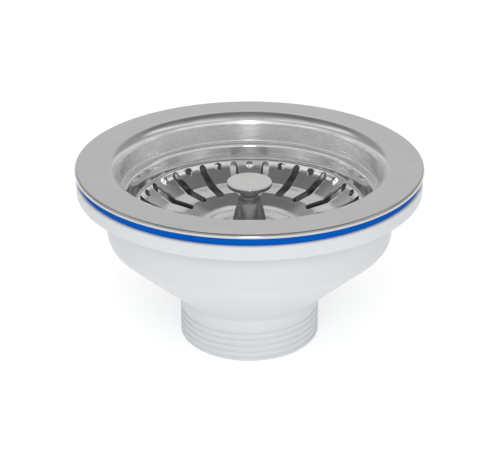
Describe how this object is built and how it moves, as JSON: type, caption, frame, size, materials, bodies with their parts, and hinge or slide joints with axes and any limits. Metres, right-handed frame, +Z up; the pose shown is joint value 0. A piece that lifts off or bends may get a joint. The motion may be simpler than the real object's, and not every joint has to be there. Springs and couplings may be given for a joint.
{
  "type": "sink waste",
  "caption": "Kitchen sink waste: round steel flange and stepped cup on a white moulded body with a threaded outlet, and a lift-out strainer basket that plugs the drain.",
  "frame": {"origin": "centre of the outlet's end face, on which the waste stands", "axes": "+Z up along the waste's axis, from the outlet to the flange; +Y is the back of the pictured view"},
  "size_m": [0.115, 0.115, 0.0633],
  "materials": {
    "pressed_steel": "bright pressed stainless steel, faintly brushed on the flange",
    "basket_steel": "polished stainless sheet with cut edges",
    "knob_steel": "turned stainless steel with fine lathe marks",
    "screw_steel": "plain stainless fastener",
    "body_plastic": "white moulded polypropylene, satin",
    "gasket_rubber": "smooth blue rubber",
    "seal_rubber": "black rubber",
    "nut_brass": "plain brass"
  },
  "bodies": {
    "waste": {"strainer_cup": "pressed_steel", "flange_gasket": "gasket_rubber", "waste_body": "body_plastic", "boss_nut": "nut_brass", "centre_screw": "screw_steel", "screw_washer": "seal_rubber"},
    "strainer": {"basket": "basket_steel", "knob": "knob_steel", "stem": "screw_steel", "catch_ring": "seal_rubber", "plug_seal": "seal_rubber", "seal_retainer": "screw_steel", "stem_nut": "screw_steel"}
  },
  "joints": [
    {"name": "basket_lift", "type": "slide", "parent": "waste", "child": "strainer", "axis": [0, 0, 1], "range_m": [0, 0.05]}
  ]
}
